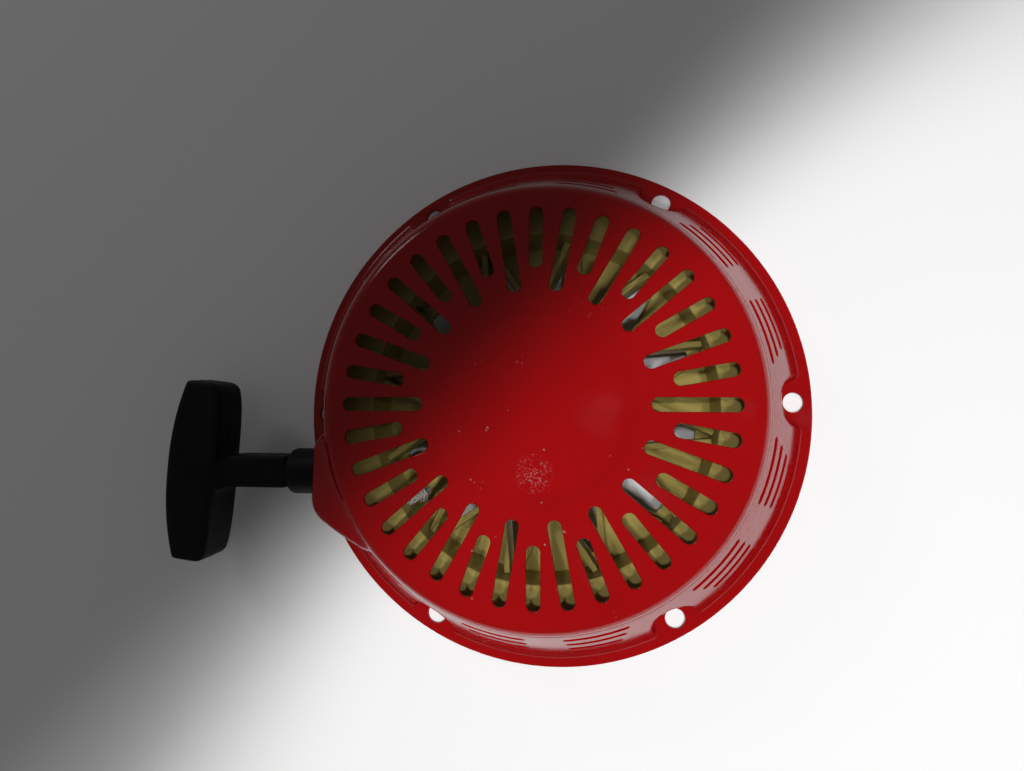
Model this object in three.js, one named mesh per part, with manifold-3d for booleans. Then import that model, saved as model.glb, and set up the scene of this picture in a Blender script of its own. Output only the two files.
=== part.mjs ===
import * as THREE from 'three';
import { mergeVertices } from 'three/addons/utils/BufferGeometryUtils.js';
import Module from 'manifold-3d';

// Recoil starter of a small petrol engine. Millimetres, +Z up through the vented face.
// The origin is on the crank axis, in the plane of the flange that bolts to the engine.

const wasm = await Module();
wasm.setup();

const degree = Math.PI / 180;
const gap = 0.3;                    // clearance between pieces that touch
const far = 200;                    // reach of a cutter that runs right through

// Housing: one pressed bowl of sheet steel with a bolting flange
const sheet = 1.2;
const flangeRadius = 112.5;
const flangeThickness = 1.5;
const wallBottom = { radius: 106, z: 5 };
const wallTop = { radius: 88.1, z: 37 };
const faceEdge = { radius: 82.6, z: 43.4 };
const faceCrown = { radius: 44, z: 45.8 };
const recess = { radius: 36.5, depth: 1.4 };
const housingSegments = 60;

const bolt = { count: 6, circleRadius: 104.75, holeRadius: 4.2, pocketRadius: 9.5, turn: 1.5 };
const slot = { count: 36, outerRadius: 77, longRadius: 43.7, shortRadius: 52.5, halfWidth: 2.7 };
const louvre = { height: 2.8, topZ: 30.5, pitch: 7, rows: 4, nearMid: 4.8, nearBolt: 21.2, stagger: 1.75 };

// Rope outlet: the rope leaves along -X, beside the crank axis
const ropeRadius = 2.5;
const rope = { y: -28, z: 22 };
const outlet = { faceX: -95, topZ: 36.5, rounding: 4.5, landingRadius: 11, holeRadius: 6.8 };
const guide = {
  collarRadius: 9.75, collarEndX: -110.5, chamfer: 2.6, boreRadius: 3.4, boreRounding: 1.2,
  neckRadius: 6.5, innerFlangeRadius: 9, innerFlangeThickness: 1.5, mouthRadius: 5.6, mouthLength: 3.2,
};

// Reel
const reel = { floorZ: 14.6, floorThickness: 2.6, rimBottomZ: 13.5, rimTopZ: 30.5, rimRadius: 84 };
const groove = { bottomZ: 16.8, topZ: 27.2, radius: 73 };
const rimInner = { bottomRadius: 68, topRadius: 70.5 };
const cup = { innerRadius: 38.5, outerRadius: 40.5, topZ: 40.5 };
const web = { bays: 12, bottomZ: 13.5, plateZ: 15.5, ribTopZ: 24, ribWidth: 3.2, firstWindow: 20 };
const hub = { bottomZ: 9.3, boreRadius: 11.3, outerRadius: 14.5 };

// Centre post and what is on it
const post = { radius: 9, endZ: 9.3, flangeRadius: 17, flangeZ: 40.9, topZ: 42.9 };
const hookSlot = { depth: 2, width: 1.6, height: 24, middleZ: 28 };
const springPocket = { radius: 6.5, topZ: 14 };
const frictionSpring = { radius: 5, wire: 0.5, bottomZ: 8.7, pitch: 1.5, turns: 3 };
const washer = { holeRadius: 3.4, radius: 9, bottomZ: 5.2, topZ: 6.1 };
const screw = { radius: 3, topZ: 30, threadRadius: 3.3, threadTopZ: 31, headRadius: 6,
  headBottomZ: 0.8, headTopZ: 4.9 };
const mainspring = { innerRadius: 11.2, outerRadius: 36.8, turns: 5, thickness: 0.8, bottomZ: 18, topZ: 38 };

// Ratchet
const pawl = { pivotRadius: 23.5, bottomZ: 8.4, topZ: 12.2, boreRadius: 2.5, pinRadius: 2.2 };
const pinTopZ = 16.5;
const pawlSpring = { radius: 3.4, wire: 0.35, bottomZ: 12.85, pitch: 0.8, turns: 1.75 };
const ratchet = { bottomZ: 6.4, topZ: 7.8, radius: 16.5, holeRadius: 3.6 };
const ratchetArm = { radius: 28.5, width: 9, angle: -38 };
const ratchetTab = { radius: 15.6, thickness: 1.4, height: 4, turn: 30 };

// Handle
const grip = { halfLength: 39.3, innerX: -141.2, outerX: -163.6, thickness: 18.4, twist: 5.3, yaw: -6.6 };
const gripRounding = 4;
const stem = { endX: -110.8, halfWidth: 7.2, halfHeight: 6, cornerWidth: 3.2, cornerHeight: 2 };
const knotPocket = { radius: 6.8, floorX: -150.4 };
const ropeBoreRadius = 3.2;

// Knots, and the washer that the handle's knot rests on
const reelKnot = { radius: 4.3, centreRadius: 63, angle: 215, holeRadius: 2.9 };
const handleKnot = { radius: 4.6, offset: 7.2 };
const retainer = { holeRadius: 2.8, radius: 6.3, thickness: 1.5 };

const finish = {
  paint: { color: 0xa30d12, roughness: 0.25, metalness: 0.1 },
  nylon: { color: 0x9a935c, roughness: 0.5, metalness: 0 },
  blackPlastic: { color: 0x0b0b0c, roughness: 0.45, metalness: 0 },
  zincSteel: { color: 0xb4b4ae, roughness: 0.35, metalness: 0.9 },
  springSteel: { color: 0x5a5c60, roughness: 0.4, metalness: 0.9 },
  sinteredSteel: { color: 0x6d6a66, roughness: 0.5, metalness: 0.8 },
  bronze: { color: 0x9a7440, roughness: 0.45, metalness: 0.8 },
  ropeYarn: { color: 0xcfcabd, roughness: 0.9, metalness: 0 },
};

// ---- shape helpers ----

// One closed surface: shared corners are merged and flat-collapsed triangles dropped.
function closed(geometry) {
  const bare = geometry.clone();
  bare.deleteAttribute('normal');
  bare.deleteAttribute('uv');
  const merged = mergeVertices(bare, 1e-3);
  const corners = merged.index.array;
  const kept = [];
  for (let i = 0; i < corners.length; i += 3) {
    const [a, b, c] = [corners[i], corners[i + 1], corners[i + 2]];
    if (a !== b && b !== c && c !== a) kept.push(a, b, c);
  }
  merged.setIndex(kept);
  return merged;
}

function solid(geometry) {
  const surface = closed(geometry);
  return new wasm.Manifold(new wasm.Mesh({
    numProp: 3,
    vertProperties: new Float32Array(surface.attributes.position.array),
    triVerts: new Uint32Array(surface.index.array),
  }));
}

function geometryOf(body) {
  const mesh = body.getMesh();
  const geometry = new THREE.BufferGeometry();
  geometry.setAttribute('position', new THREE.BufferAttribute(mesh.vertProperties, 3));
  geometry.setIndex(Array.from(mesh.triVerts));
  return geometry;
}

const join = (bodies) => bodies.reduce((whole, body) => whole.add(body));
const cut = (body, cutters) => cutters.reduce((rest, cutter) => rest.subtract(cutter), body);

// A profile of [radius, z] points, anticlockwise, turned about the Z axis.
function revolve(profile, segments = 32) {
  const points = [...profile, profile[0]].map(([radius, z]) => new THREE.Vector2(radius, z));
  return new THREE.LatheGeometry(points, segments).rotateX(Math.PI / 2);
}

function tubeRing(inner, outer, bottomZ, topZ, segments = 32) {
  return revolve([[inner, bottomZ], [outer, bottomZ], [outer, topZ], [inner, topZ]], segments);
}

function disc(radius, bottomZ, topZ, segments = 24) {
  return revolve([[0, bottomZ], [radius, bottomZ], [radius, topZ], [0, topZ]], segments);
}

const alongX = (geometry) => geometry.rotateY(Math.PI / 2);   // the Z axis becomes +X

function plate(points, bottomZ, topZ) {
  const outline = new THREE.Shape(points.map(([x, y]) => new THREE.Vector2(x, y)));
  return new THREE.ExtrudeGeometry(outline, { depth: topZ - bottomZ, bevelEnabled: false })
    .translate(0, 0, bottomZ);
}

// The same with its top and bottom edges rounded off.
function roundedPlate(points, bottomZ, topZ, rounding, roundingSteps = 2) {
  const outline = new THREE.Shape(points.map(([x, y]) => new THREE.Vector2(x, y)));
  return new THREE.ExtrudeGeometry(outline, {
    depth: topZ - bottomZ - 2 * rounding, bevelThickness: rounding, bevelSize: rounding,
    bevelOffset: -rounding, bevelSegments: roundingSteps,
  }).translate(0, 0, bottomZ + rounding);
}

const polar = (radius, angle) => [radius * Math.cos(angle * degree), radius * Math.sin(angle * degree)];

function arcPoints(radius, from, to, steps) {
  return Array.from({ length: steps + 1 }, (_, i) => polar(radius, from + (to - from) * i / steps));
}

// A bar with round ends that lies along +X from one radius to another.
function radialSlot(fromRadius, toRadius, halfWidth, bottomZ, topZ, angle) {
  const end = (centre, start) => arcPoints(halfWidth, start, start + 180, 3)
    .map(([x, y]) => [x + centre, y]);
  const outline = [...end(toRadius - halfWidth, -90), ...end(fromRadius + halfWidth, 90)];
  return plate(outline, bottomZ, topZ).rotateZ(angle * degree);
}

class HelixCurve extends THREE.Curve {
  constructor(radius, bottomZ, pitch, turns) {
    super();
    Object.assign(this, { radius, bottomZ, pitch, turns });
  }

  getPoint(t, target = new THREE.Vector3()) {
    const angle = t * this.turns * 2 * Math.PI;
    const z = this.bottomZ + this.pitch * this.turns * t;
    return target.set(this.radius * Math.cos(angle), this.radius * Math.sin(angle), z);
  }
}

function roundSection(radius, sides) {
  return new THREE.Shape(arcPoints(radius, 0, 360 - 360 / sides, sides - 1)
    .map(([x, y]) => new THREE.Vector2(x, y)));
}

function sweep(curve, radius, sides, steps) {
  const settings = { steps, extrudePath: curve, bevelEnabled: false };
  return new THREE.ExtrudeGeometry(roundSection(radius, sides), settings);
}

// ---- housing ----

const wallSlope = (wallBottom.radius - wallTop.radius) / (wallTop.z - wallBottom.z);
const wallRadius = (z) => wallTop.radius + (wallTop.z - z) * wallSlope;

// The bowl's outside, or its inside when inset by the sheet's thickness.
function bowlProfile(inset, bottomZ) {
  const shoulder = [30, 62].map((angle) => {
    const reach = wallTop.radius - faceEdge.radius;
    const rise = faceEdge.z - wallTop.z;
    const [x, z] = polar(1, angle);
    return [faceEdge.radius + reach * x - inset * x, wallTop.z + rise * z - inset * z];
  });
  const crownZ = faceCrown.z - inset;
  return [
    [wallBottom.radius - inset * 0.9, wallBottom.z - inset * 0.4],
    [wallTop.radius - inset, wallTop.z],
    ...shoulder,
    [faceEdge.radius, faceEdge.z - inset],
    [faceCrown.radius, crownZ],
    [recess.radius + 1.5, crownZ],
    [recess.radius - inset * 0.6, crownZ - recess.depth],
    [0, crownZ - recess.depth],
    [0, bottomZ],
  ];
}

const outletOutline = (inset) => [
  [-70, -12 - inset], [-91 + inset, -12 - inset], [outlet.faceX + inset, -16 - inset * 0.6],
  [outlet.faceX + inset, -41], [-92.5 + inset, -46 + inset * 0.4], [-84, -52 + inset],
  [-70, -60 + inset], [-60, -40],
];

function boltAxes(make) {
  return Array.from({ length: bolt.count }, (_, i) => {
    const [x, y] = polar(bolt.circleRadius, bolt.turn + i * 360 / bolt.count);
    return solid(make().translate(x, y, 0));
  });
}

function ventSlots() {
  return Array.from({ length: slot.count }, (_, i) => {
    const inner = i % 2 === 0 ? slot.longRadius : slot.shortRadius;
    const angle = i * 360 / slot.count;
    return solid(radialSlot(inner, slot.outerRadius, slot.halfWidth, wallTop.z, far, angle));
  });
}

// Between two bolts stand two stacks of louvres; a lower slot stops sooner beside the bolt.
function louvreSlots() {
  const cutters = [];
  for (let side = 0; side < bolt.count; side += 1) {
    const middle = bolt.turn + (side + 0.5) * 360 / bolt.count;
    for (const hand of [-1, 1]) {
      if (side === 3 && hand < 0) continue;          // the rope outlet takes this stack's place
      for (let row = 0; row < louvre.rows; row += 1) {
        const z = louvre.topZ - row * louvre.pitch;
        const from = middle + hand * louvre.nearMid;
        const to = middle + hand * (louvre.nearBolt - row * louvre.stagger);
        const outline = [
          ...arcPoints(wallRadius(z) + 6, Math.min(from, to), Math.max(from, to), 2),
          ...arcPoints(wallRadius(z) - 6, Math.max(from, to), Math.min(from, to), 2),
        ];
        cutters.push(solid(plate(outline, z - louvre.height / 2, z + louvre.height / 2)));
      }
    }
  }
  return cutters;
}

function outletLanding(radius, x) {
  return solid(alongX(disc(radius, -far, x)).translate(0, rope.y, rope.z));
}

function housing() {
  const outside = [[0, 0], [flangeRadius, 0], [flangeRadius, flangeThickness],
    [wallBottom.radius + 2.6, flangeThickness], [wallBottom.radius + 1, flangeThickness + 0.9]];
  const inside = [[0, -1], [wallBottom.radius + 0.8, -1], [wallBottom.radius + 0.4, 0.8]];
  const pressing = (start, inset) => solid(revolve(
    [...start, ...bowlProfile(inset, start[0][1]).slice(0, -1)], housingSegments));
  const boss = (inset, bottomZ) => solid(roundedPlate(
    outletOutline(inset), bottomZ, outlet.topZ - inset, outlet.rounding));
  const shell = cut(pressing(outside, 0).add(boss(0, 0)), [
    ...boltAxes(() => disc(bolt.pocketRadius, flangeThickness, far, 20)),
    outletLanding(outlet.landingRadius, outlet.faceX),
  ]);
  const hollow = cut(pressing(inside, sheet).add(boss(sheet, -1)), [
    ...boltAxes(() => disc(bolt.pocketRadius + sheet, -far, far, 20)),
    outletLanding(outlet.landingRadius + sheet, outlet.faceX + sheet),
  ]);
  return cut(shell, [
    hollow,
    ...boltAxes(() => disc(bolt.holeRadius, -far, far, 12)),
    solid(alongX(disc(outlet.holeRadius, -far, -80)).translate(0, rope.y, rope.z)),
    ...ventSlots(),
    ...louvreSlots(),
  ]);
}

// ---- centre post, mainspring and what clamps the ratchet ----

function centrePost() {
  const body = solid(revolve([
    [0, screw.threadTopZ], [screw.threadRadius, screw.threadTopZ],
    [screw.threadRadius, springPocket.topZ], [springPocket.radius, springPocket.topZ],
    [springPocket.radius, post.endZ], [post.radius, post.endZ], [post.radius, post.flangeZ],
    [post.flangeRadius, post.flangeZ], [post.flangeRadius, post.topZ], [0, post.topZ],
  ], 24));
  const { depth, width, height, middleZ } = hookSlot;
  const slit = solid(new THREE.BoxGeometry(2 * depth, width, height).translate(post.radius, 0, middleZ));
  return cut(body, [slit]);
}

// A flat strip wound outwards, with its inner end turned into the post's slot.
function mainspringStrip() {
  const steps = mainspring.turns * 16;
  const reach = mainspring.outerRadius - mainspring.innerRadius;
  const edge = (offset) => Array.from({ length: steps + 1 }, (_, i) => polar(
    mainspring.innerRadius + reach * i / steps + offset, i * mainspring.turns * 360 / steps));
  const half = mainspring.thickness / 2;
  const hook = [[post.radius - 1.6, -half], [post.radius - 1.6, half]];
  const outer = edge(half);
  const inner = edge(-half).reverse();
  return plate([hook[0], [outer[0][0], -half], ...outer.slice(1), ...inner.slice(0, -1),
    [inner[inner.length - 1][0], half], hook[1]], mainspring.bottomZ, mainspring.topZ);
}

function centreScrew() {
  const shank = solid(disc(screw.radius, screw.headTopZ - 0.5, screw.topZ, 16));
  const head = solid(disc(screw.headRadius, screw.headBottomZ, screw.headTopZ, 6));
  return shank.add(head);
}

// ---- reel ----

function rim() {
  return solid(revolve([
    [rimInner.bottomRadius, reel.rimBottomZ], [reel.rimRadius, reel.rimBottomZ],
    [reel.rimRadius, groove.bottomZ - 1], [groove.radius, groove.bottomZ],
    [groove.radius, groove.topZ], [reel.rimRadius, groove.topZ + 1],
    [reel.rimRadius, reel.rimTopZ], [rimInner.topRadius, reel.rimTopZ],
  ], 48));
}

const ribInner = cup.outerRadius - 1;
const ribOuter = rimInner.bottomRadius + 1.5;

function windowRib(middle, hand) {
  const from = new THREE.Vector2(...polar(ribInner, middle + hand * 180 / web.bays));
  const to = new THREE.Vector2(...polar(ribOuter, middle + hand * 1.5));
  const run = to.clone().sub(from);
  return solid(new THREE.BoxGeometry(run.length(), web.ribWidth, web.ribTopZ - web.bottomZ)
    .rotateZ(run.angle())
    .translate((from.x + to.x) / 2, (from.y + to.y) / 2, (web.ribTopZ + web.bottomZ) / 2));
}

function windowCutter(middle) {
  const spread = 180 / web.bays - 3.4;
  return solid(plate([
    polar(cup.outerRadius + 2, middle - spread), polar(cup.outerRadius + 2, middle + spread),
    polar(ribOuter - 10, middle),
  ], 0, web.plateZ + 1));
}

function reelWeb() {
  const middles = Array.from({ length: web.bays }, (_, i) => web.firstWindow + i * 360 / web.bays);
  const webPlate = solid(tubeRing(ribInner, ribOuter, web.bottomZ, web.plateZ, 48));
  const ribs = middles.flatMap((middle) => [windowRib(middle, -1), windowRib(middle, 1)]);
  return join([cut(webPlate, middles.map(windowCutter)), ...ribs]);
}

function reelBody() {
  const floor = solid(tubeRing(hub.boreRadius, cup.outerRadius, reel.floorZ,
    reel.floorZ + reel.floorThickness, 36));
  const cupWall = solid(tubeRing(cup.innerRadius, cup.outerRadius, web.bottomZ, cup.topZ, 36));
  const hubSleeve = solid(tubeRing(hub.boreRadius, hub.outerRadius, hub.bottomZ, reel.floorZ + 1));
  const pinHoles = [0, 180].map((angle) => {
    const [x, y] = polar(pawl.pivotRadius, angle);
    return solid(disc(pawl.pinRadius + gap, 0, pinTopZ + gap, 16).translate(x, y, 0));
  });
  const knotHole = solid(alongX(disc(reelKnot.holeRadius, reelKnot.centreRadius, groove.radius + 2, 12))
    .rotateZ(reelKnot.angle * degree).translate(0, 0, rope.z));
  return cut(join([rim(), reelWeb(), floor, cupWall, hubSleeve]), [...pinHoles, knotHole]);
}

function ropeEndInReel() {
  const { radius, centreRadius, angle } = reelKnot;
  const knot = solid(new THREE.SphereGeometry(radius, 12, 8).translate(centreRadius, 0, 0));
  const stub = solid(alongX(disc(ropeRadius - 0.1, centreRadius, groove.radius - gap, 12)));
  return geometryOf(knot.add(stub)).rotateZ(angle * degree).translate(0, 0, rope.z);
}

// ---- ratchet ----

// The pawl trails from its pivot and swings outwards to catch the engine's starter cup.
function pawlBody() {
  const { pivotRadius, bottomZ, topZ } = pawl;
  const outline = [
    [pivotRadius + 4.4, 1.5], [pivotRadius + 1.5, 4.6], [pivotRadius - 2.5, 4.3],
    [pivotRadius - 4.6, 1], [pivotRadius - 4.9, -8], [pivotRadius - 5.2, -16],
    [pivotRadius - 2.5, -20.5], [pivotRadius + 1.6, -18.5], [pivotRadius + 1.2, -13],
    [pivotRadius + 3.6, -6],
  ];
  const bore = solid(disc(pawl.boreRadius, 0, far, 16).translate(pivotRadius, 0, 0));
  return cut(solid(plate(outline, bottomZ, topZ)), [bore]);
}

function coilSpring({ radius, wire, bottomZ, pitch, turns }, sides, steps) {
  return sweep(new HelixCurve(radius, bottomZ, pitch, turns), wire, sides, steps);
}

function ratchetGuide() {
  const thickness = ratchet.topZ - ratchet.bottomZ;
  const arms = [0, 180].map((turn) => {
    const bar = new THREE.BoxGeometry(ratchetArm.radius, ratchetArm.width, thickness);
    return solid(bar.translate(ratchetArm.radius / 2, 0, ratchet.bottomZ + thickness / 2)
      .rotateZ((ratchetArm.angle + turn) * degree));
  });
  const tabs = [0, 180].map((turn) => {
    const tab = new THREE.BoxGeometry(ratchetTab.thickness, ratchetArm.width, ratchetTab.height);
    return solid(tab.translate(ratchetTab.radius, 0, ratchet.topZ - 0.5 + ratchetTab.height / 2)
      .rotateZ((ratchetArm.angle + ratchetTab.turn + turn) * degree));
  });
  const round = solid(disc(ratchet.radius, ratchet.bottomZ, ratchet.topZ, 32));
  const centreHole = solid(disc(ratchet.holeRadius, 0, far, 16));
  return cut(join([round, ...arms, ...tabs]), [centreHole]);
}

// ---- rope outlet, rope and handle ----

function ropeGuide() {
  const { collarRadius, collarEndX, chamfer, boreRadius, boreRounding, neckRadius } = guide;
  const collarBackX = outlet.faceX - gap;
  const innerX = outlet.faceX + sheet + gap;
  const mouthX = innerX + guide.mouthLength;
  return alongX(revolve([
    [boreRadius, collarEndX + boreRounding], [boreRadius + boreRounding, collarEndX],
    [collarRadius - chamfer, collarEndX], [collarRadius, collarEndX + chamfer],
    [collarRadius, collarBackX], [neckRadius, collarBackX], [neckRadius, innerX],
    [guide.innerFlangeRadius, innerX], [guide.innerFlangeRadius, innerX + guide.innerFlangeThickness],
    [neckRadius, mouthX], [guide.mouthRadius, mouthX], [boreRadius, innerX - 1],
  ], 24)).translate(0, rope.y, rope.z);
}

// Where the rope leaves the winding: the straight run is tangent to the outer layer.
const outerLayer = groove.radius + 7.3;
const bend = new THREE.Vector3(outlet.faceX + 2, rope.y, rope.z);
const bendDistance = Math.hypot(bend.x, bend.y);
const runAngle = Math.atan2(-bend.y, -bend.x) - Math.asin(outerLayer / bendDistance);
const runEnd = reel.rimRadius + ropeRadius + gap;
const runLength = Math.sqrt(bendDistance ** 2 - outerLayer ** 2) - Math.sqrt(runEnd ** 2 - outerLayer ** 2);
const ropeJoinX = -104;

function ropeRun() {
  const along = new THREE.Vector3(Math.cos(runAngle), Math.sin(runAngle), 0);
  const at = (distance) => bend.clone().addScaledVector(along, distance);
  const before = (distance) => new THREE.Vector3(bend.x - distance, rope.y, rope.z);
  const route = new THREE.CatmullRomCurve3([
    new THREE.Vector3(ropeJoinX, rope.y, rope.z), before(6), before(1.5), at(1.5), at(6), at(runLength),
  ]);
  return sweep(route, ropeRadius, 8, 16);
}

function ropeTail() {
  const length = ropeJoinX - gap - (knotPocket.floorX - 2.2);
  return alongX(disc(ropeRadius, 0, length, 8)).translate(knotPocket.floorX - 2.2, rope.y, rope.z);
}

function handleGrip() {
  const { halfLength, innerX, outerX } = grip;
  const half = [
    [innerX + 4, stem.halfWidth], [innerX + 1, stem.halfWidth + 1], [innerX, stem.halfWidth + 4],
    [innerX, halfLength - 8], [innerX - 1.8, halfLength - 2.6], [innerX - 6, halfLength],
    [outerX + 9.5, halfLength], [outerX + 6.4, halfLength - 1.6], [outerX + 3.2, halfLength - 12],
    [outerX + 0.7, 13],
  ];
  const mirrored = half.map(([x, y]) => [x, -y]).reverse();
  const middleX = (innerX + outerX) / 2;
  const bar = roundedPlate([...half, [outerX, 0], ...mirrored],
    -grip.thickness / 2, grip.thickness / 2, gripRounding);
  const head = solid(bar.translate(-middleX, 0, 0).rotateZ(grip.yaw * degree).translate(middleX, 0, 0));
  const { halfWidth, halfHeight, cornerWidth, cornerHeight } = stem;
  const [flatY, flatX] = [halfWidth - cornerWidth, halfHeight - cornerHeight];
  const stemSection = new THREE.Shape([
    [-halfHeight, -flatY], [-flatX, -halfWidth], [flatX, -halfWidth], [halfHeight, -flatY],
    [halfHeight, flatY], [flatX, halfWidth], [-flatX, halfWidth], [-halfHeight, flatY],
  ].map(([x, y]) => new THREE.Vector2(x, y)));
  const stemBar = solid(alongX(new THREE.ExtrudeGeometry(stemSection,
    { depth: stem.endX - (innerX - 6), bevelEnabled: false })).translate(innerX - 6, 0, 0));
  const bore = solid(alongX(disc(ropeBoreRadius, -far, far, 12)));
  const pocket = solid(alongX(disc(knotPocket.radius, -far, knotPocket.floorX, 20)));
  return geometryOf(cut(head.add(stemBar), [bore, pocket]))
    .rotateX(grip.twist * degree).translate(0, rope.y, rope.z);
}

function onRopeAxis(geometry) {
  return alongX(geometry).translate(0, rope.y, rope.z);
}

// ---- assembly ----

const starter = new THREE.Group();

function place(name, shape, look, parent = starter) {
  const geometry = shape.isBufferGeometry ? closed(shape) : geometryOf(shape);
  const mesh = new THREE.Mesh(geometry, new THREE.MeshStandardMaterial(finish[look]));
  mesh.name = name;
  parent.add(mesh);
  return mesh;
}

place('housing', housing(), 'paint');
place('centre_post', centrePost(), 'zincSteel');
place('recoil_spring', mainspringStrip(), 'springSteel');
place('reel', reelBody(), 'nylon');
place('reel_bushing', tubeRing(post.radius + gap, hub.boreRadius - gap, hub.bottomZ, 17, 24), 'bronze');

for (const [turn, suffix] of [[0, 'a'], [180, 'b']]) {
  const side = new THREE.Group();
  side.rotation.z = turn * degree;
  starter.add(side);
  const pin = disc(pawl.pinRadius, pawl.bottomZ + gap, pinTopZ, 16);
  const spring = coilSpring(pawlSpring, 6, 28);
  place(`pawl_${suffix}`, pawlBody(), 'sinteredSteel', side);
  place(`pawl_pin_${suffix}`, pin.translate(pawl.pivotRadius, 0, 0), 'zincSteel', side);
  place(`pawl_spring_${suffix}`, spring.translate(pawl.pivotRadius, 0, 0), 'springSteel', side);
}

place('ratchet_guide', ratchetGuide(), 'zincSteel');
place('friction_spring', coilSpring(frictionSpring, 5, 30), 'springSteel');
place('guide_washer', tubeRing(washer.holeRadius, washer.radius, washer.bottomZ, washer.topZ, 24),
  'zincSteel');
place('centre_screw', centreScrew(), 'zincSteel');

place('rope_guide', ropeGuide(), 'blackPlastic');
place('rope_winding', tubeRing(groove.radius + gap, outerLayer + ropeRadius - gap,
  groove.bottomZ + gap, groove.topZ - gap, 36), 'ropeYarn');
place('reel_knot', ropeEndInReel(), 'ropeYarn');
place('rope_run', ropeRun(), 'ropeYarn');
place('rope_tail', ropeTail(), 'ropeYarn');

place('handle_grip', handleGrip(), 'blackPlastic');
const retainerX = knotPocket.floorX - gap;
place('rope_retainer', onRopeAxis(tubeRing(retainer.holeRadius, retainer.radius,
  retainerX - retainer.thickness, retainerX, 20)), 'zincSteel');
place('handle_knot', new THREE.SphereGeometry(handleKnot.radius, 12, 8)
  .translate(knotPocket.floorX - handleKnot.offset, rope.y, rope.z), 'ropeYarn');

export default starter;
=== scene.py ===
import math
from math import cos, pi, radians, sin

import bpy
from mathutils import Matrix, Vector


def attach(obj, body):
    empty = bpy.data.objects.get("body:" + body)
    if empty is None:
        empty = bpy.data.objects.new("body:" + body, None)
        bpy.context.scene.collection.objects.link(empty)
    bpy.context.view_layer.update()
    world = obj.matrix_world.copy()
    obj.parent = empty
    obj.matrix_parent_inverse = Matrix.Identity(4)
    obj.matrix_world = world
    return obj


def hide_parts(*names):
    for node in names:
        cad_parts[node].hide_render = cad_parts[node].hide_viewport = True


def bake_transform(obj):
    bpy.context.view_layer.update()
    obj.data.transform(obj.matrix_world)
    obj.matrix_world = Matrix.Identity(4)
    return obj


# Recoil starter: a red pressed-steel bowl, a nylon rope reel with its ratchet, and a T-handle.
# Sizes are in millimetres and are turned into metres as pieces are made.

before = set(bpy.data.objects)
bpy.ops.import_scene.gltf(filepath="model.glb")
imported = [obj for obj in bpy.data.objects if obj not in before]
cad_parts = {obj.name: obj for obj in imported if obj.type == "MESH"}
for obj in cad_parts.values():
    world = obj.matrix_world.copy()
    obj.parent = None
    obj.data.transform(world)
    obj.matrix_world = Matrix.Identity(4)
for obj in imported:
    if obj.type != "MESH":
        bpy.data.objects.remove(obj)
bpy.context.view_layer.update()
mm = 0.001
print("frame loaded:", len(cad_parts), "CAD pieces")


# ---------- camera ----------

camera = {
    "eye": (34.9, -9.5, 268.5),      # above the vented face
    "turn": (-4.189, 7.716, 0.142),  # rotation vector in degrees, from looking straight down
    "lens": 21.1,
    "shift": (-0.0334, 0.0004),
}


def makeCamera():
    turn = Vector([radians(a) for a in camera["turn"]])
    tilt = Matrix.Rotation(turn.length, 3, turn)
    straightDown = Matrix.Diagonal((1, -1, -1))
    toCamera = tilt @ straightDown           # camera with Y down and Z forward
    looking = toCamera.transposed() @ Matrix.Diagonal((1, -1, -1))
    data = bpy.data.cameras.new("viewCamera")
    data.lens = camera["lens"]
    data.sensor_width = 36
    data.shift_x, data.shift_y = camera["shift"]
    data.clip_start = 0.01
    eye = bpy.data.objects.new("viewCamera", data)
    eye.matrix_world = Matrix.Translation(Vector(camera["eye"]) * mm) @ looking.to_4x4()
    bpy.context.scene.collection.objects.link(eye)
    bpy.context.scene.camera = eye


makeCamera()


# ---------- working helpers ----------

def clearSelection():
    active = bpy.context.view_layer.objects.active
    if active and active.mode != "OBJECT":
        bpy.ops.object.mode_set(mode="OBJECT")
    bpy.ops.object.select_all(action="DESELECT")


def focus(piece):
    clearSelection()
    piece.select_set(True)
    bpy.context.view_layer.objects.active = piece


def editAll(piece):
    focus(piece)
    bpy.ops.object.mode_set(mode="EDIT")
    bpy.ops.mesh.select_all(action="SELECT")


def leaveEdit():
    bpy.ops.object.mode_set(mode="OBJECT")


def selectFaces(piece, rule):
    """rule(centre, normal) says which faces, in millimetres."""
    clearSelection()
    bpy.context.view_layer.objects.active = piece
    bpy.context.tool_settings.mesh_select_mode = (False, False, True)
    bpy.ops.object.mode_set(mode="EDIT")
    bpy.ops.mesh.select_all(action="DESELECT")
    bpy.ops.object.mode_set(mode="OBJECT")
    for face in piece.data.polygons:
        face.select = rule(face.center / mm, face.normal)
    bpy.ops.object.mode_set(mode="EDIT")


def bevelEdges(piece, rule, offset, segments):
    """rule(a, b) says which edges, by their ends in millimetres."""
    clearSelection()
    bpy.context.view_layer.objects.active = piece
    bpy.context.tool_settings.mesh_select_mode = (False, True, False)
    bpy.ops.object.mode_set(mode="EDIT")
    bpy.ops.mesh.select_all(action="DESELECT")
    bpy.ops.object.mode_set(mode="OBJECT")
    points = piece.data.vertices
    for edge in piece.data.edges:
        a, b = (points[i].co / mm for i in edge.vertices)
        edge.select = rule(a, b)
    bpy.ops.object.mode_set(mode="EDIT")
    bpy.ops.mesh.bevel(offset=offset * mm, segments=segments, affect="EDGES")
    leaveEdit()


def modify(piece, kind, **settings):
    focus(piece)
    bpy.ops.object.modifier_add(type=kind)
    modifier = piece.modifiers[-1]
    for key, value in settings.items():
        setattr(modifier, key, value)
    bpy.ops.object.modifier_apply(modifier=modifier.name)


def settle(piece):
    """Puts the place of a piece into its mesh and closes doubled corners."""
    focus(piece)
    bpy.ops.object.transform_apply(location=True, rotation=True, scale=True)
    editAll(piece)
    bpy.ops.mesh.remove_doubles(threshold=0.000002)
    bpy.ops.mesh.normals_make_consistent(inside=False)
    leaveEdit()


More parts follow.
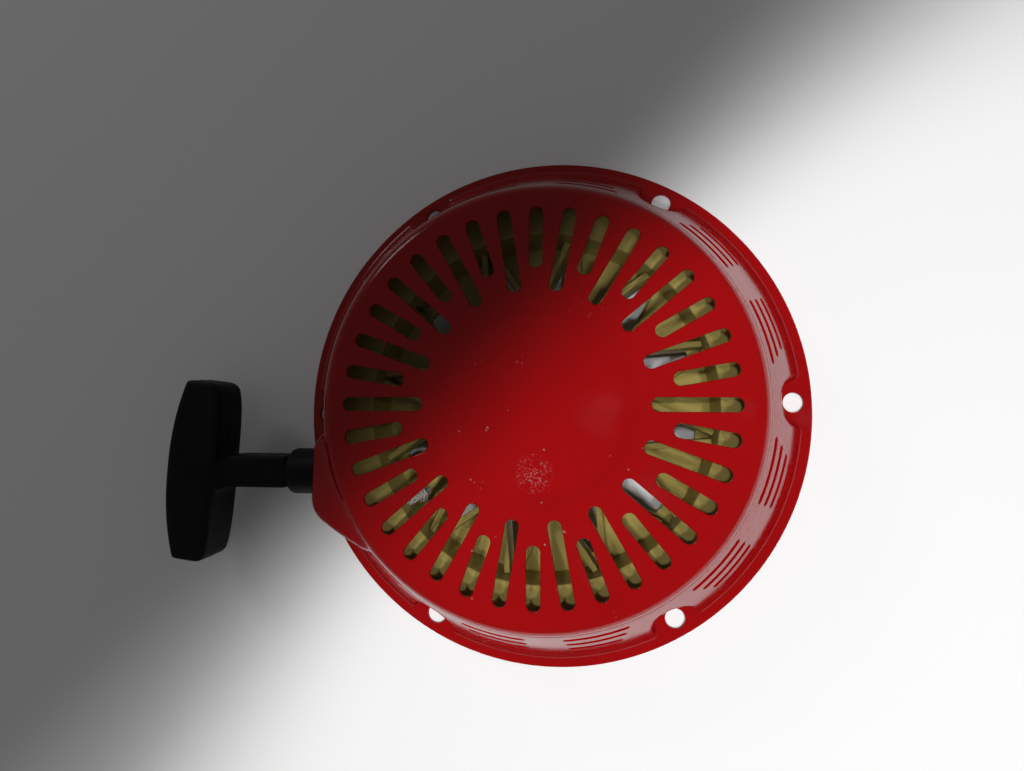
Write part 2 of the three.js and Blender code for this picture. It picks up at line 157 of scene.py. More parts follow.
def joined(name, parts):
    focus(parts[0])
    for part in parts[1:]:
        part.select_set(True)
    if len(parts) > 1:
        bpy.ops.object.join()
    parts[0].name = name
    return parts[0]


def boolean(piece, cutter, operation="DIFFERENCE"):
    modify(piece, "BOOLEAN", object=cutter, operation=operation, solver="EXACT")
    bpy.data.objects.remove(cutter)


def copied(piece, turn=0.0, name=None, about=(0, 0, 0)):
    twin = piece.copy()
    twin.data = piece.data.copy()
    bpy.context.scene.collection.objects.link(twin)
    spot = Vector(about) * mm
    twin.data.transform(Matrix.Translation(spot) @ Matrix.Rotation(radians(turn), 4, "Z")
                        @ Matrix.Translation(-spot))
    if name:
        twin.name = name
    return twin


def smooth(piece, angle=35, weighted=True):
    focus(piece)
    bpy.ops.object.shade_smooth_by_angle(angle=radians(angle))
    if weighted:
        modify(piece, "WEIGHTED_NORMAL", keep_sharp=True)


def show(piece, body, material, stands=()):
    piece.data.materials.clear()
    piece.data.materials.append(material)
    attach(piece, body)
    if stands:
        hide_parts(*stands)


def turned(name, profile, steps=96, axis="Z", place=(0, 0, 0)):
    """A turned piece: a circle pulled from point to point of a (radius, height) profile."""
    clearSelection()
    radius, height = profile[0]
    bpy.ops.mesh.primitive_circle_add(vertices=steps, radius=radius * mm, location=(0, 0, 0))
    piece = bpy.context.object
    piece.name = name
    bpy.ops.object.mode_set(mode="EDIT")
    bpy.ops.mesh.select_mode(type="EDGE")
    bpy.ops.mesh.select_all(action="SELECT")
    bpy.ops.transform.translate(value=(0, 0, height * mm))
    for nextRadius, nextHeight in profile[1:]:
        rise = (0, 0, (nextHeight - height) * mm)
        bpy.ops.mesh.extrude_edges_move(TRANSFORM_OT_translate={"value": rise})
        size = max(nextRadius, 0.0001) / max(radius, 0.0001)
        bpy.ops.transform.resize(value=(size, size, 1), center_override=(0, 0, nextHeight * mm))
        radius, height = nextRadius, nextHeight
    leaveEdit()
    if axis == "X":
        piece.data.transform(Matrix.Rotation(pi / 2, 4, "Y"))
    piece.data.transform(Matrix.Translation(Vector(place) * mm))
    editAll(piece)
    bpy.ops.mesh.remove_doubles(threshold=0.000005)
    bpy.ops.mesh.normals_make_consistent(inside=False)
    leaveEdit()
    return piece


def rounded(profile, radius, steps=3, ends=False):
    """Rounds the corners of a profile that closes on itself, or of an open one between its ends."""
    count = len(profile)
    out = []
    for i, corner in enumerate(profile):
        here = Vector(corner)
        if not ends and i in (0, count - 1):
            out.append(tuple(corner))
            continue
        before, after = Vector(profile[i - 1]), Vector(profile[(i + 1) % count])
        a, b = before - here, after - here
        reach = min(radius, a.length * 0.45, b.length * 0.45)
        start, end = here + a.normalized() * reach, here + b.normalized() * reach
        for k in range(steps + 1):
            t = k / steps
            out.append(tuple((1 - t) ** 2 * start + 2 * t * (1 - t) * here + t * t * end))
    return out


def ring(name, profile, radius, steps=96, **place):
    """A turned piece with a hole: its rounded profile closes on itself."""
    outline = rounded(profile, radius, ends=True)
    return turned(name, outline + outline[:1], steps, **place)


def polar(radius, angle):
    return radius * cos(radians(angle)), radius * sin(radians(angle))


def smoothMin(a, b, soft):
    h = max(soft - abs(a - b), 0) / soft
    return min(a, b) - h * h * soft / 4


def smoothMax(a, b, soft):
    return -smoothMin(-a, -b, soft)


def tube(name, points, radius, sides=12, closed=False):
    """A round bar along points in millimetres, with a UV map: u along it in metres, v round it."""
    path = [Vector(p) * mm for p in points]
    count = len(path)
    tangents = []
    for i in range(count):
        ahead = path[(i + 1) % count] if closed else path[min(i + 1, count - 1)]
        behind = path[i - 1] if closed or i else path[0]
        tangents.append((ahead - behind).normalized())
    side = tangents[0].orthogonal().normalized()
    verts, lengths, run = [], [], 0.0
    for i, (p, t) in enumerate(zip(path, tangents)):
        side = (side - t * side.dot(t)).normalized()
        other = t.cross(side)
        if i:
            run += (p - path[i - 1]).length
        lengths.append(run)
        for k in range(sides):
            angle = 2 * pi * k / sides
            verts.append(p + (side * cos(angle) + other * sin(angle)) * radius * mm)
    faces, uvs = [], []
    for i in range(count if closed else count - 1):
        j = (i + 1) % count
        for k in range(sides):
            m = (k + 1) % sides
            faces.append((i * sides + k, i * sides + m, j * sides + m, j * sides + k))
            end = lengths[j] if j else run + (path[0] - path[-1]).length
            uvs += [(lengths[i], k / sides), (lengths[i], (k + 1) / sides),
                    (end, (k + 1) / sides), (end, k / sides)]
    if not closed:
        faces += [tuple(reversed(range(sides))), tuple((count - 1) * sides + k for k in range(sides))]
        uvs += [(0, 0)] * sides + [(run, 0)] * sides
    mesh = bpy.data.meshes.new(name)
    mesh.from_pydata(verts, [], faces)
    layer = mesh.uv_layers.new(name="alongRope")
    for loop, uv in zip(layer.data, uvs):
        loop.uv = uv
    piece = bpy.data.objects.new(name, mesh)
    bpy.context.scene.collection.objects.link(piece)
    return piece


# ---------- materials ----------

def newMaterial(name, color, roughness=0.5, metallic=0.0, **sockets):
    material = bpy.data.materials.new(name)
    material.use_nodes = True
    shader = material.node_tree.nodes["Principled BSDF"]
    shader.inputs["Base Color"].default_value = (*color, 1)
    shader.inputs["Roughness"].default_value = roughness
    shader.inputs["Metallic"].default_value = metallic
    for key, value in sockets.items():
        shader.inputs[key].default_value = value
    return material


def addNode(material, kind, settings=None, **inputs):
    node = material.node_tree.nodes.new(kind)
    for key, value in (settings or {}).items():
        setattr(node, key, value)
    for key, value in inputs.items():
        socket = node.inputs[key.replace("_", " ")]
        if isinstance(value, bpy.types.NodeSocket):
            material.node_tree.links.new(value, socket)
        else:
            socket.default_value = value
    return node


def feed(material, socket, value):
    shader = material.node_tree.nodes["Principled BSDF"]
    material.node_tree.links.new(value, shader.inputs[socket])


def objectSpace(material):
    return addNode(material, "ShaderNodeTexCoord").outputs["Object"]


def noise(material, scale, detail=4.0, where=None, roughness=0.5):
    return addNode(material, "ShaderNodeTexNoise", Vector=where or objectSpace(material),
                   Scale=scale, Detail=detail, Roughness=roughness).outputs["Fac"]


def ramp(material, value, low, high, toLow=0.0, toHigh=1.0):
    node = addNode(material, "ShaderNodeMapRange", {"clamp": True}, Value=value)
    node.inputs["From Min"].default_value = low
    node.inputs["From Max"].default_value = high
    node.inputs["To Min"].default_value = toLow
    node.inputs["To Max"].default_value = toHigh
    return node.outputs["Result"]


def calc(material, operation, a, b=0.0):
    node = addNode(material, "ShaderNodeMath", {"operation": operation})
    for socket, value in zip(node.inputs, (a, b)):
        if isinstance(value, bpy.types.NodeSocket):
            material.node_tree.links.new(value, socket)
        else:
            socket.default_value = value
    return node.outputs["Value"]


def blendColor(material, fac, a, b):
    node = addNode(material, "ShaderNodeMix", {"data_type": "RGBA"})
    for socket, value in ((node.inputs["Factor"], fac), (node.inputs[6], a), (node.inputs[7], b)):
        if isinstance(value, bpy.types.NodeSocket):
            material.node_tree.links.new(value, socket)
        else:
            socket.default_value = (*value, 1) if isinstance(value, tuple) else value
    return node.outputs[2]


def bump(material, height, strength, distance):
    node = addNode(material, "ShaderNodeBump", Height=height, Strength=strength)
    node.inputs["Distance"].default_value = distance
    feed(material, "Normal", node.outputs["Normal"])


paint = {
    "color": (0.28, 0.0014, 0.0024),
    "deep": (0.25, 0.001, 0.0018),
    "primer": (0.30, 0.2, 0.2),
    "scuffAt": (0, -26, 45),      # where the face is scuffed
    "scuffSize": 8,
}


def redPaint():
    m = newMaterial("redGlossPaint", paint["color"], 0.15, **{
        "Specular IOR Level": 0.3})
    space = objectSpace(m)
    cloudy = ramp(m, noise(m, 18, 3, space), 0.35, 0.7)
    color = blendColor(m, cloudy, paint["color"], paint["deep"])
    offset = addNode(m, "ShaderNodeVectorMath", {"operation": "SUBTRACT"})
    m.node_tree.links.new(space, offset.inputs[0])
    offset.inputs[1].default_value = Vector(paint["scuffAt"]) * mm
    reach = addNode(m, "ShaderNodeVectorMath", {"operation": "LENGTH"})
    m.node_tree.links.new(offset.outputs[0], reach.inputs[0])
    patch = ramp(m, reach.outputs["Value"], paint["scuffSize"] * mm * 0.2, paint["scuffSize"] * mm, 1, 0)
    grains = ramp(m, noise(m, 1100, 2, space, 0.7), 0.53, 0.6)
    scuff = calc(m, "MULTIPLY", calc(m, "MULTIPLY", patch, grains), ramp(m, noise(m, 260, 2, space), 0.4, 0.55))
    cells = addNode(m, "ShaderNodeTexVoronoi", {"feature": "F1"}, Vector=space, Scale=330.0)
    rare = ramp(m, noise(m, 70, 2, space), 0.6, 0.66)
    specks = calc(m, "MULTIPLY", ramp(m, cells.outputs["Distance"], 0.10, 0.17, 1, 0), rare)
    nearCentre = ramp(m, reach.outputs["Value"], 0.03, 0.07, 1, 0)
    wear = calc(m, "MAXIMUM", scuff, calc(m, "MULTIPLY", specks, nearCentre))
    feed(m, "Base Color", blendColor(m, calc(m, "MULTIPLY", wear, 0.75), color, paint["primer"]))
    smears = ramp(m, noise(m, 45, 5, space, 0.6), 0.35, 0.75, 0.1, 0.19)
    feed(m, "Roughness", calc(m, "MAXIMUM", smears, calc(m, "MULTIPLY", wear, 0.6)))
    peel = calc(m, "ADD", noise(m, 420, 2, space), calc(m, "MULTIPLY", wear, -0.8))
    bump(m, peel, 0.10, 0.0004)
    return m


def nylon():
    # The base colour here and both flow colours below are darker and more olive than cream nylon: painted shade and
    # red bounce light for the reel's place inside the red bowl.
    m = newMaterial("naturalNylon", (0.5, 0.42, 0.14), 0.42, **{
        "Subsurface Weight": 0.25, "Subsurface Scale": 0.003, "Specular IOR Level": 0.45})
    m.node_tree.nodes["Principled BSDF"].inputs["Subsurface Radius"].default_value = (1.0, 0.8, 0.35)
    flow = ramp(m, noise(m, 35, 4), 0.3, 0.75)
    # Both flow colours carry painted shade and painted red bounce light on top of the nylon's own tone.
    feed(m, "Base Color", blendColor(m, flow, (0.42, 0.34, 0.11), (0.32, 0.26, 0.07)))
    feed(m, "Roughness", ramp(m, noise(m, 160, 4), 0.3, 0.7, 0.32, 0.55))
    bump(m, noise(m, 900, 3), 0.12, 0.0003)
    return m


def blackPlastic():
    m = newMaterial("blackMouldedPlastic", (0.003, 0.003, 0.0031), 0.5, **{"Specular IOR Level": 0.15})
    dusty = ramp(m, noise(m, 60, 5), 0.4, 0.8)
    feed(m, "Base Color", blendColor(m, dusty, (0.0026, 0.0026, 0.0027), (0.005, 0.005, 0.005)))
    feed(m, "Roughness", ramp(m, noise(m, 90, 5), 0.3, 0.75, 0.42, 0.6))
    bump(m, noise(m, 2600, 3), 0.25, 0.00012)
    return m


def metal(name, color, dark, roughness, grain=1500, relief=0.15):
    m = newMaterial(name, color, roughness, 1.0)
    feed(m, "Base Color", blendColor(m, ramp(m, noise(m, 120, 5), 0.35, 0.75), color, dark))
    feed(m, "Roughness", ramp(m, noise(m, 260, 4), 0.3, 0.75, roughness * 0.75, min(1, roughness * 1.4)))
    bump(m, noise(m, grain, 3), relief, 0.0001)
    return m


def ropeYarn(name, straight):
    """Braided cord; the pattern follows the tube's own map, or the rope's axis where it runs straight."""
    m = newMaterial(name, (0.6, 0.58, 0.5), 0.85, **{"Sheen Weight": 0.4, "Sheen Roughness": 0.5})
    if straight:
        split = addNode(m, "ShaderNodeSeparateXYZ", Vector=objectSpace(m))
        turn = calc(m, "ARCTAN2", calc(m, "SUBTRACT", split.outputs["Z"], 0.022),
                    calc(m, "SUBTRACT", split.outputs["Y"], -0.028))
        around = calc(m, "MULTIPLY", turn, 8 / (2 * pi))
    else:
        uv = addNode(m, "ShaderNodeUVMap", {"uv_map": "alongRope"}).outputs["UV"]
        split = addNode(m, "ShaderNodeSeparateXYZ", Vector=uv)
        around = calc(m, "MULTIPLY", split.outputs["Y"], 8)
    along = calc(m, "MULTIPLY", split.outputs["X"], 260)       # crossings to a metre

    def strands(operation):
        return calc(m, "SINE", calc(m, "MULTIPLY", calc(m, operation, along, around), 2 * pi))

    height = ramp(m, calc(m, "MAXIMUM", strands("ADD"), strands("SUBTRACT")), -0.2, 1)
    # The low places between the strands are painted darker: painted shade in the braid's grooves.
    color = blendColor(m, height, (0.22, 0.21, 0.17), (0.62, 0.6, 0.52))
    tracer = ramp(m, calc(m, "SINE", calc(m, "MULTIPLY", calc(m, "ADD", along, around), pi / 2)), 0.9, 0.97)
    feed(m, "Base Color", blendColor(m, tracer, color, (0.05, 0.06, 0.09)))
    fuzz = calc(m, "MULTIPLY", noise(m, 3000, 2), 0.3)
    bump(m, calc(m, "ADD", height, fuzz), 0.8, 0.0004)
    return m


red = redPaint()
nylonLook = nylon()
black = blackPlastic()
zinc = metal("zincPlatedSteel", (0.62, 0.61, 0.56), (0.42, 0.41, 0.37), 0.3)
springLook = metal("oiledSpringSteel", (0.2, 0.22, 0.26), (0.1, 0.1, 0.12), 0.3)
sintered = metal("sinteredSteel", (0.3, 0.285, 0.26), (0.16, 0.15, 0.14), 0.45, 2200, 0.4)
bronze = metal("sinteredBronze", (0.5, 0.33, 0.15), (0.3, 0.18, 0.08), 0.4, 2200, 0.4)
yarn = ropeYarn("braidedCord", False)
straightYarn = ropeYarn("braidedCordStraight", True)
print("materials made")


# ---------- housing: one pressed bowl of painted sheet steel ----------

housing = {
    "sheet": 1.2,
    "flange": 1.5,
    "flangeRadius": 112.5,
    "face": (44, 45.8, 82.6, 43.4),    # radius and height where the face starts and ends
    "recess": (33, 41, 1.4),         # dish in the middle: foot radius, top radius, depth
    "wallRadius": 88.1,                # at height 37
    "wallSlope": 0.5594,
    "boltCircle": 104.75,
    "boltTurn": 1.5,
    "boltHole": 4.2,
    "pocket": 9.5,
    "outlet": [(-70, -12), (-91, -12), (-95, -16), (-95, -41), (-92.5, -46), (-84, -52), (-70, -60)],
    "outletTop": 36.5,
    "outletRounding": 6.0,
    "landing": (-95, 11.2),            # flat seat for the rope guide: x and radius
    "guideAxis": (-28, 22),
    "slotEnd": 77,
    "slotStarts": (43.7, 52.5),        # long and short slots in turn
    "slotHalfWidth": 2.7,
    "lip": 0.45,
}


def faceHeight(radius):
    r0, z0, r1, z1 = housing["face"]
    foot, top, depth = housing["recess"]
    if radius > r0:
        slope = (z0 - z1) / (r1 - r0)
        soft = min(1, (radius - r0) / 8)                 # the crown bends over softly
        return z0 - slope * (radius - r0) * soft
    t = max(0, min(1, (radius - foot) / (top - foot)))
    return z0 - depth * (1 - t * t * (3 - 2 * t))


def wallLine(height, inset=0):
    slope = housing["wallSlope"]
    return housing["wallRadius"] + (37 - height) * slope - inset * math.sqrt(1 + slope * slope)


def curve(start, control, end, steps):
    points = []
    for i in range(1, steps + 1):
        t = i / steps
        points.append(tuple((1 - t) ** 2 * Vector(start) + 2 * t * (1 - t) * Vector(control)
                            + t * t * Vector(end)))
    return points


def bowlRows(inset):
    """Radius and height from the middle of the face to the foot of the wall."""
    foot, top, depth = housing["recess"]
    radii = [0.0001, 4, 9, 14, 19, 24, 28, 31] + [foot + i * (top - foot) / 9 for i in range(10)]
    radii += [42.5, 44, 46, 48, 50, 52, 56, 60, 64, 68, 72, 75, 78, 80]
    rows = [(r, faceHeight(r) - inset) for r in radii]
    shoulderStart = (81.8 - inset * 0.1, faceHeight(81.8) - inset)
    shoulderEnd = (wallLine(36.5, inset), 36.5)
    corner = (86.2 - inset * 1.05, 43.25 - inset * 1.05)
    rows.append(shoulderStart)
    rows += curve(shoulderStart, corner, shoulderEnd, 8)
    heights = [35.7, 34.9, 34, 33, 32, 30.8, 29.5, 28, 26.5, 25, 23.5, 22, 20.5, 19, 17.5, 16, 14.5, 13,
               11.5, 10, 8.5, 7, 5.6]
    if inset:
        heights = heights[1::2] + [4.2]
    rows += [(wallLine(z, inset), z) for z in heights]
    return rows


def flangeRows():
    """From the foot of the outside wall round the flange's edge to the inside of the wall."""
    h = housing["flange"]
    edge = housing["flangeRadius"]
    start = (wallLine(4.4), 4.4)
    rows = [start] + curve(start, (wallLine(h), h), (110, h), 6)
    rows += [(111.3, h), (edge - 0.4, h), (edge - 0.12, h - 0.12), (edge, h - 0.4),
             (edge, 0.4), (edge - 0.12, 0.12), (edge - 0.4, 0), (110.6, 0), (109.2, 0)]
    inner = housing["sheet"]
    rows += curve((109.2, 0), (wallLine(0, inner), 0), (wallLine(3, inner), 3), 5)
    return rows


def columnAngles():
    """Columns crowd together at the bolts and at the rope outlet."""
    angles = []
    angle = 0.0
    while angle < 359.9:
        angles.append(angle)
        toBolt = abs((angle - housing["boltTurn"] + 30) % 60 - 30)
        inOutlet = 183 < angle < 223
        angle += 0.5 if toBolt < 7 else 0.75 if inOutlet else 1.5
    return angles


def pocketReach(offset, radius):
    """How far out the wall may stand beside a bolt, at an angle from it in degrees."""
    circle = housing["boltCircle"]
    offset = abs(offset)
    limit = math.degrees(math.asin(radius / circle))
    if offset < limit:
        across = circle * sin(radians(offset))
        return circle * cos(radians(offset)) - math.sqrt(max(radius ** 2 - across ** 2, 0))
    return circle * cos(radians(limit)) + 5.5 * (offset - limit)


def outletReach(angle, inset):
    """The outlet's outline seen from the crank axis, with its corners softened."""
    def reach(a):
        ray = Vector(polar(1, a))
        best = 0
        corners = [Vector(p) for p in housing["outlet"]]
        for p, q in zip(corners, corners[1:]):
            side = q - p
            cross = ray.x * side.y - ray.y * side.x
            if abs(cross) > 1e-9:
                t = (p.x * side.y - p.y * side.x) / cross
                s = (p.x * ray.y - p.y * ray.x) / cross
                if -0.001 <= s <= 1.001:
                    best = max(best, t)
        if not best:
            best = 91.8 - 5 * abs(187.5 - a) if a < 200 else 92.2 - 5 * (a - 220.6)
        return best
    return sum(reach(angle + k * 0.7) for k in (-2, -1, 0, 1, 2)) / 5 - inset


def shapeWall(piece, inner):
    """Presses the bolt pockets and the rope outlet into the turned bowl."""
    landX, landRadius = housing["landing"]
    axisY, axisZ = housing["guideAxis"]
    for v in piece.data.vertices:
        x, y, z = v.co / mm
        radius = math.hypot(x, y)
        if radius < 60 or radius > 111.8:
            continue
        angle = math.degrees(math.atan2(y, x)) % 360
        inset = housing["sheet"] if v.index in inner else 0
        foot = max(0, radius - wallLine(z, inset)) if z < 5 else 0
        offset = (angle - housing["boltTurn"] + 30) % 60 - 30
        if z < 42:
            edge = pocketReach(offset, housing["pocket"] + inset - foot)
            radius = smoothMin(radius, edge, 3.0)
        if 183 < angle < 225 and z < 43.5:
            top = housing["outletTop"] - inset
            rounding = housing["outletRounding"]
            reach = outletReach(angle, inset)
            rise = z - (top - rounding)
            if rise > 0:
                over = min(1, rise / rounding)
                reach -= rounding * (1 - math.sqrt(1 - over * over)) + max(0, z - top) * 3
            radius = smoothMax(radius, reach, 2.5)
        x, y = polar(radius, angle)
        if x < -80:
            away = math.hypot(y - axisY, z - axisZ) - landRadius - inset
            if away < 1.5:
                seat = landX + inset
                x += (max(x, seat) - x) * max(0, min(1, 1 - away / 1.5))
        v.co = Vector((x, y, z)) * mm


def slotTool(length, halfWidth, lip, cuts=0):
    """Cuts a slot with round ends and softly rounded lips; it lies along X from the origin."""
    lips = [(halfWidth + lip * (1 - cos(radians(a))), lip * (sin(radians(a)) - 1)) for a in (0, 25, 50, 75)]
    wide = lips[-1][0] + 0.08
    profile = [(0.0001, -4), (halfWidth, -4)] + lips + [(wide, 0.12), (wide, 3), (0.0001, 3)]
    tool = turned("slotTool", profile, steps=20)
    tool.data.transform(Matrix.Rotation(radians(9), 4, "Z"))
    for v in tool.data.vertices:
        if v.co.x > 1e-6:
            v.co.x += (length - 2 * halfWidth) * mm
    tool.data.transform(Matrix.Translation((halfWidth * mm, 0, 0)))
    for i in range(cuts):
        editAll(tool)
        spot = (halfWidth + (length - 2 * halfWidth) * (i + 0.5) / cuts) * mm
        bpy.ops.mesh.bisect(plane_co=(spot, 0, 0), plane_no=(1, 0, 0))
        leaveEdit()
    return tool


def faceSlots():
    tools = []
    for i in range(36):
        start = housing["slotStarts"][i % 2]
        if i < 2:
            tool = slotTool(housing["slotEnd"] - start, housing["slotHalfWidth"], housing["lip"])
            tool.data.transform(Matrix.Translation((start * mm, 0, 0)))
            for v in tool.data.vertices:
                v.co.z += faceHeight(v.co.xy.length / mm) * mm
            tool.data.transform(Matrix.Rotation(radians(i * 10), 4, "Z"))
            tools.append(tool)
        else:
            tools.append(copied(tools[i % 2], 10 * (i - i % 2)))
    return tools


louvres = {
    "topHeight": 30.5, "pitch": 7, "rows": 4,
    "nearMiddle": 4.8, "nearBolt": 21.2, "stagger": 1.75,   # degrees from the middle between two bolts
    "halfHeight": 1.6,
}


def louvreSlots():
    """Two stacks between each pair of bolts; the rope outlet takes the place of one stack."""
    slope = math.atan(housing["wallSlope"])
    out = Vector((cos(slope), 0, sin(slope)))
    down = Vector((sin(slope), 0, -cos(slope)))
    tools = []
    for row in range(louvres["rows"]):
        height = louvres["topHeight"] - row * louvres["pitch"]
        radius = wallLine(height)
        first, last = louvres["nearMiddle"], louvres["nearBolt"] - row * louvres["stagger"]
        model = slotTool(radians(last - first) * radius, louvres["halfHeight"], 0.4, cuts=6)
        for v in model.data.vertices:
            along, across, depth = v.co / mm
            flat = Vector((radius, 0, height)) + out * depth + down * across
            flat.rotate(Matrix.Rotation(radians(first) + along / radius, 3, "Z"))
            v.co = flat * mm
        mirror = copied(model)
        mirror.data.transform(Matrix.Diagonal((1, -1, 1, 1)))
        for tool in (model, mirror):
            editAll(tool)
            bpy.ops.mesh.normals_make_consistent(inside=False)
            leaveEdit()
        for side in range(6):
            middle = housing["boltTurn"] + (side + 0.5) * 60
            tools.append(copied(model, middle))
            if side != 3:
                tools.append(copied(mirror, middle))
        bpy.data.objects.remove(model)
        bpy.data.objects.remove(mirror)
    return tools


def makeHousing():
    outside = bowlRows(0)
    profile = outside + flangeRows()
    inside = list(reversed(bowlRows(housing["sheet"])))
    angles = columnAngles()
    count = len(angles)
    shell = turned("housingShell", profile + inside, steps=count)
    firstInner = len(outside) + len(flangeRows()) - 8
    innerRows = {(round(r, 2), round(z, 2)) for r, z in (profile + inside)[firstInner:]}
    inner = set()
    for v in shell.data.vertices:
        radius, height = v.co.xy.length / mm, v.co.z / mm
        if (round(radius, 2), round(height, 2)) in innerRows:
            inner.add(v.index)
        if radius > 0.1:
            step = round(math.degrees(math.atan2(v.co.y, v.co.x)) % 360 / (360 / count)) % count
            x, y = polar(radius, angles[step])
            v.co = Vector((x, y, height)) * mm
    shapeWall(shell, inner)
    tools = faceSlots() + louvreSlots()
    for i in range(6):
        x, y = polar(housing["boltCircle"], housing["boltTurn"] + i * 60)
        h, r = housing["flange"], housing["boltHole"]
        hole = turned("boltHole", [(0.0001, -2), (r, -2), (r, h - 0.35), (r + 0.1, h - 0.12), (r + 0.3, h),
                                   (r + 0.7, h + 0.2), (r + 0.7, 4), (0.0001, 4)], 32, place=(x, y, 0))
        tools.append(hole)
    y, z = housing["guideAxis"]
    tools.append(turned("guideHole", [(0.0001, -99), (6.8, -99), (6.8, -88), (0.0001, -88)], 32,
                        axis="X", place=(0, y, z)))
    boolean(shell, joined("housingTools", tools))
    smooth(shell, 42)
    show(shell, "housing", red, ["housing"])
    print("housing pressed and pierced:", len(shell.data.polygons), "faces")
    return shell


makeHousing()


# ---------- T-handle: moulded black plastic on the rope's end ----------

handle = {
    "inner": -141.2, "outer": -163.6,      # the bar's two long sides
    "halfLength": 39.3,
    "halfThickness": 9.2,
    "stemHalf": (7.2, 6.0),
    "stemSteps": ((4.2, 0.96), (7.5, 1), (8.6, 1), (8.2, 1), (1.9, 1), (0.8, 0.9)),
    "twist": 5.3,                          # the whole handle hangs turned a little about the rope
    "lean": -6.6,                          # the bar isn't quite square to its stem
    "pocket": (6.8, -150.4),               # knot pocket: radius and floor
    "bore": 3.2,
    "axis": (-28, 22),
    "seam": 0.22,                          # height of the moulding seam
}


def handleSide(y):
    """Inner and outer edge of the bar at a distance from its middle."""
    half = handle["halfLength"]
    t = min(1, abs(y) / half)
    outer = handle["outer"] + 5.0 * t ** 2.3
    inner = handle["inner"] - 1.0 * t ** 4
    return outer, inner


def makeHandle():
    half, thick = handle["halfLength"], handle["halfThickness"]
    stemY, stemZ = handle["stemHalf"]
    outer, inner = handle["outer"], handle["inner"]
    clearSelection()
    bpy.ops.mesh.primitive_cube_add(size=1, location=(0, 0, 0))
    bar = bpy.context.object
    bar.name = "tHandle"
    bar.data.transform(Matrix.Translation(((outer + inner) / 2 * mm, 0, 0))
                       @ Matrix.Diagonal(((inner - outer) * mm, 2 * half * mm, 2 * thick * mm, 1)))
    cutsY = [-36.8, -28, -19, -stemY - 4.5, -stemY, -4.4, 4.4, stemY, stemY + 4.5, 19, 28, 36.8]
    cutsX = [outer + 4.2, -152.4, inner - 5.2]
    cutsZ = [-stemZ - 0.2, -3.6, -0.35, 0, 0.35, 3.6, stemZ + 0.2]
    for cuts, normal in ((cutsX, (1, 0, 0)), (cutsY, (0, 1, 0)), (cutsZ, (0, 0, 1))):
        for place in cuts:
            editAll(bar)
            bpy.ops.mesh.bisect(plane_co=Vector(normal) * place * mm, plane_no=normal)
            leaveEdit()
    selectFaces(bar, lambda c, n: n.x > 0.7 and abs(c.y) < stemY and abs(c.z) < stemZ + 0.5)
    for step, size in handle["stemSteps"]:
        bpy.ops.mesh.extrude_region_move(TRANSFORM_OT_translate={"value": (step * mm, 0, 0)})
        bpy.ops.transform.resize(value=(1, size, size), center_override=(0, 0, 0))
    leaveEdit()
    middle = Vector(((outer + inner) / 2, 0, 0))
    lean = Matrix.Rotation(radians(handle["lean"]), 3, "Z")
    for v in bar.data.vertices:
        x, y, z = v.co / mm
        seam = handle["seam"] if abs(z) < 0.1 else 0
        if x < inner + 0.1:                     # the bar bulges outside and draws in at its ends
            atEnd, atInner = abs(y) > half - 0.1, x > inner - 0.1
            farSide, nearSide = handleSide(y)
            x = farSide + (x - outer) / (inner - outer) * (nearSide - farSide)
            z *= 1 - 0.16 * (abs(y) / half) ** 3
            x += seam * (1 if x > nearSide - 0.1 else -1 if x < farSide + 0.1 else 0)
            y += seam * (1 if y > half - 0.1 else -1 if y < 0.1 - half else 0)
            if atEnd and atInner:               # round inner corners
                x, y = x - 1.6, y * 0.955
            elif atInner and abs(y) > 36:
                x, y = x - 0.4, y * 0.97
            x, y, z = middle + lean @ (Vector((x, y, z)) - middle)
        else:
            y += seam * (1 if y > 5 else -1 if y < -5 else 0)
        v.co = Vector((x, y, z)) * mm
    modify(bar, "SUBSURF", levels=2, render_levels=2)
    pocket, floor = handle["pocket"]
    bore = handle["bore"]
    boolean(bar, turned("bore", [
        (0.0001, -200), (pocket + 1.0, -200), (pocket + 1.0, outer - 0.1), (pocket + 0.3, outer + 0.5),
        (pocket, outer + 1.6), (pocket, floor + 0.5), (pocket - 0.5, floor), (bore, floor), (bore, -111.8),
        (bore + 0.4, -110.8), (bore + 1.4, -110.1), (bore + 1.6, -100), (0.0001, -100)], 48, axis="X"))
    nub = turned("gateNub", [(0.0001, -1.5), (1.1, -1.5), (0.95, 0.45), (0.7, 0.7), (0.0001, 0.75)], 12)
    nubAt = middle + lean @ Vector((1.5, -half + 0.1, 0))
    nub.data.transform(Matrix.Translation(nubAt * mm) @ Matrix.Rotation(pi / 2, 4, "X"))
    boolean(bar, nub, "UNION")
    smooth(bar, 50)
    y, z = handle["axis"]
    bar.data.transform(Matrix.Translation((0, y * mm, z * mm))
                       @ Matrix.Rotation(radians(handle["twist"]), 4, "X"))
    show(bar, "handle", black, ["handle_grip"])
    print("handle moulded:", len(bar.data.polygons), "faces")


makeHandle()


# ---------- rope guide, rope and knots ----------

rope = {
    "radius": 2.45,
    "axis": (-28, 22),                 # y and height where it leaves the housing
    "bendX": -93,
    "outerLayer": 80.0,                # centre of the winding's outer layer
    "layers": ((75.6, 24.6), (75.6, 19.4), (80.0, 19.4), (80.0, 24.6)),
    "knotAt": (63, 215, 22),           # in the reel: radius, angle, height
    "handleKnotX": -157.6,
}


def makeGuide():
    y, z = rope["axis"]
    profile = [(3.4, -108.4), (4.7, -109.7), (7.15, -109.7), (9.75, -107.6), (9.75, -95.3), (6.5, -95.3),
               (6.5, -93.5), (9, -93.5), (9, -92), (6.7, -90.3), (5.6, -90.3), (3.4, -94.5)]
    guide = ring("ropeGuideBush", profile, 0.55, 72, axis="X", place=(0, y, z))
    smooth(guide, 40)
    show(guide, "housing", black, ["rope_guide"])


